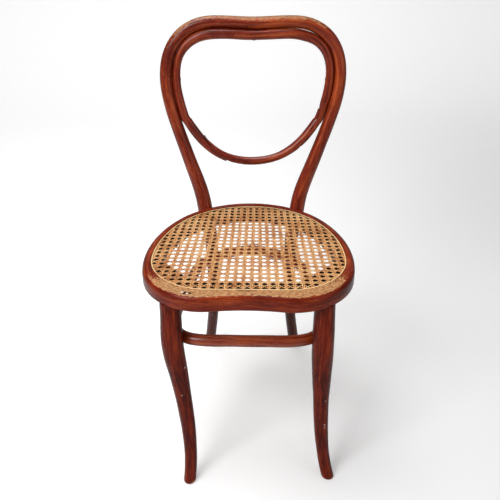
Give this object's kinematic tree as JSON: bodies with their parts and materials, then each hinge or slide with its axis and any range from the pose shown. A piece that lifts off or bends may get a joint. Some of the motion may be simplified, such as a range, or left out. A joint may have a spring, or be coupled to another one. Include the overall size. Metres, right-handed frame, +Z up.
{
  "type": "dining chair",
  "caption": "Bentwood bistro chair with a bowed back, an inner back hoop, a caned double-lobed seat and a ring that ties the splayed legs.",
  "frame": {"origin": "on the floor, under the middle of the chair's outline", "axes": "+Z up, +X to the sitter's left, the front of the seat faces -Y"},
  "size_m": [0.4374, 0.5234, 0.8831],
  "materials": {
    "stained_beech": "red-brown stain under gloss varnish, worn pale on the edges that hands and knees touch",
    "cane": "aged honey-coloured split cane, satin",
    "binding_cane": "pale flat binding cane, satin",
    "steel": "dull aged steel"
  },
  "bodies": {
    "root": {"back_frame": "stained_beech", "hoop_upper": "stained_beech", "hoop_lower": "stained_beech", "seat_frame": "stained_beech", "front_leg_left": "stained_beech", "front_leg_right": "stained_beech", "leg_ring": "stained_beech", "ring_screws": "steel", "hoop_screws": "steel", "seat_bolts": "steel", "seat_washers": "steel", "seat_nuts": "steel", "cane_lengthwise_first": "cane", "cane_crosswise_first": "cane", "cane_lengthwise_second": "cane", "cane_crosswise_second": "cane", "cane_diagonal_left": "cane", "cane_diagonal_right": "cane", "cane_binding": "binding_cane"}
  },
  "joints": []
}
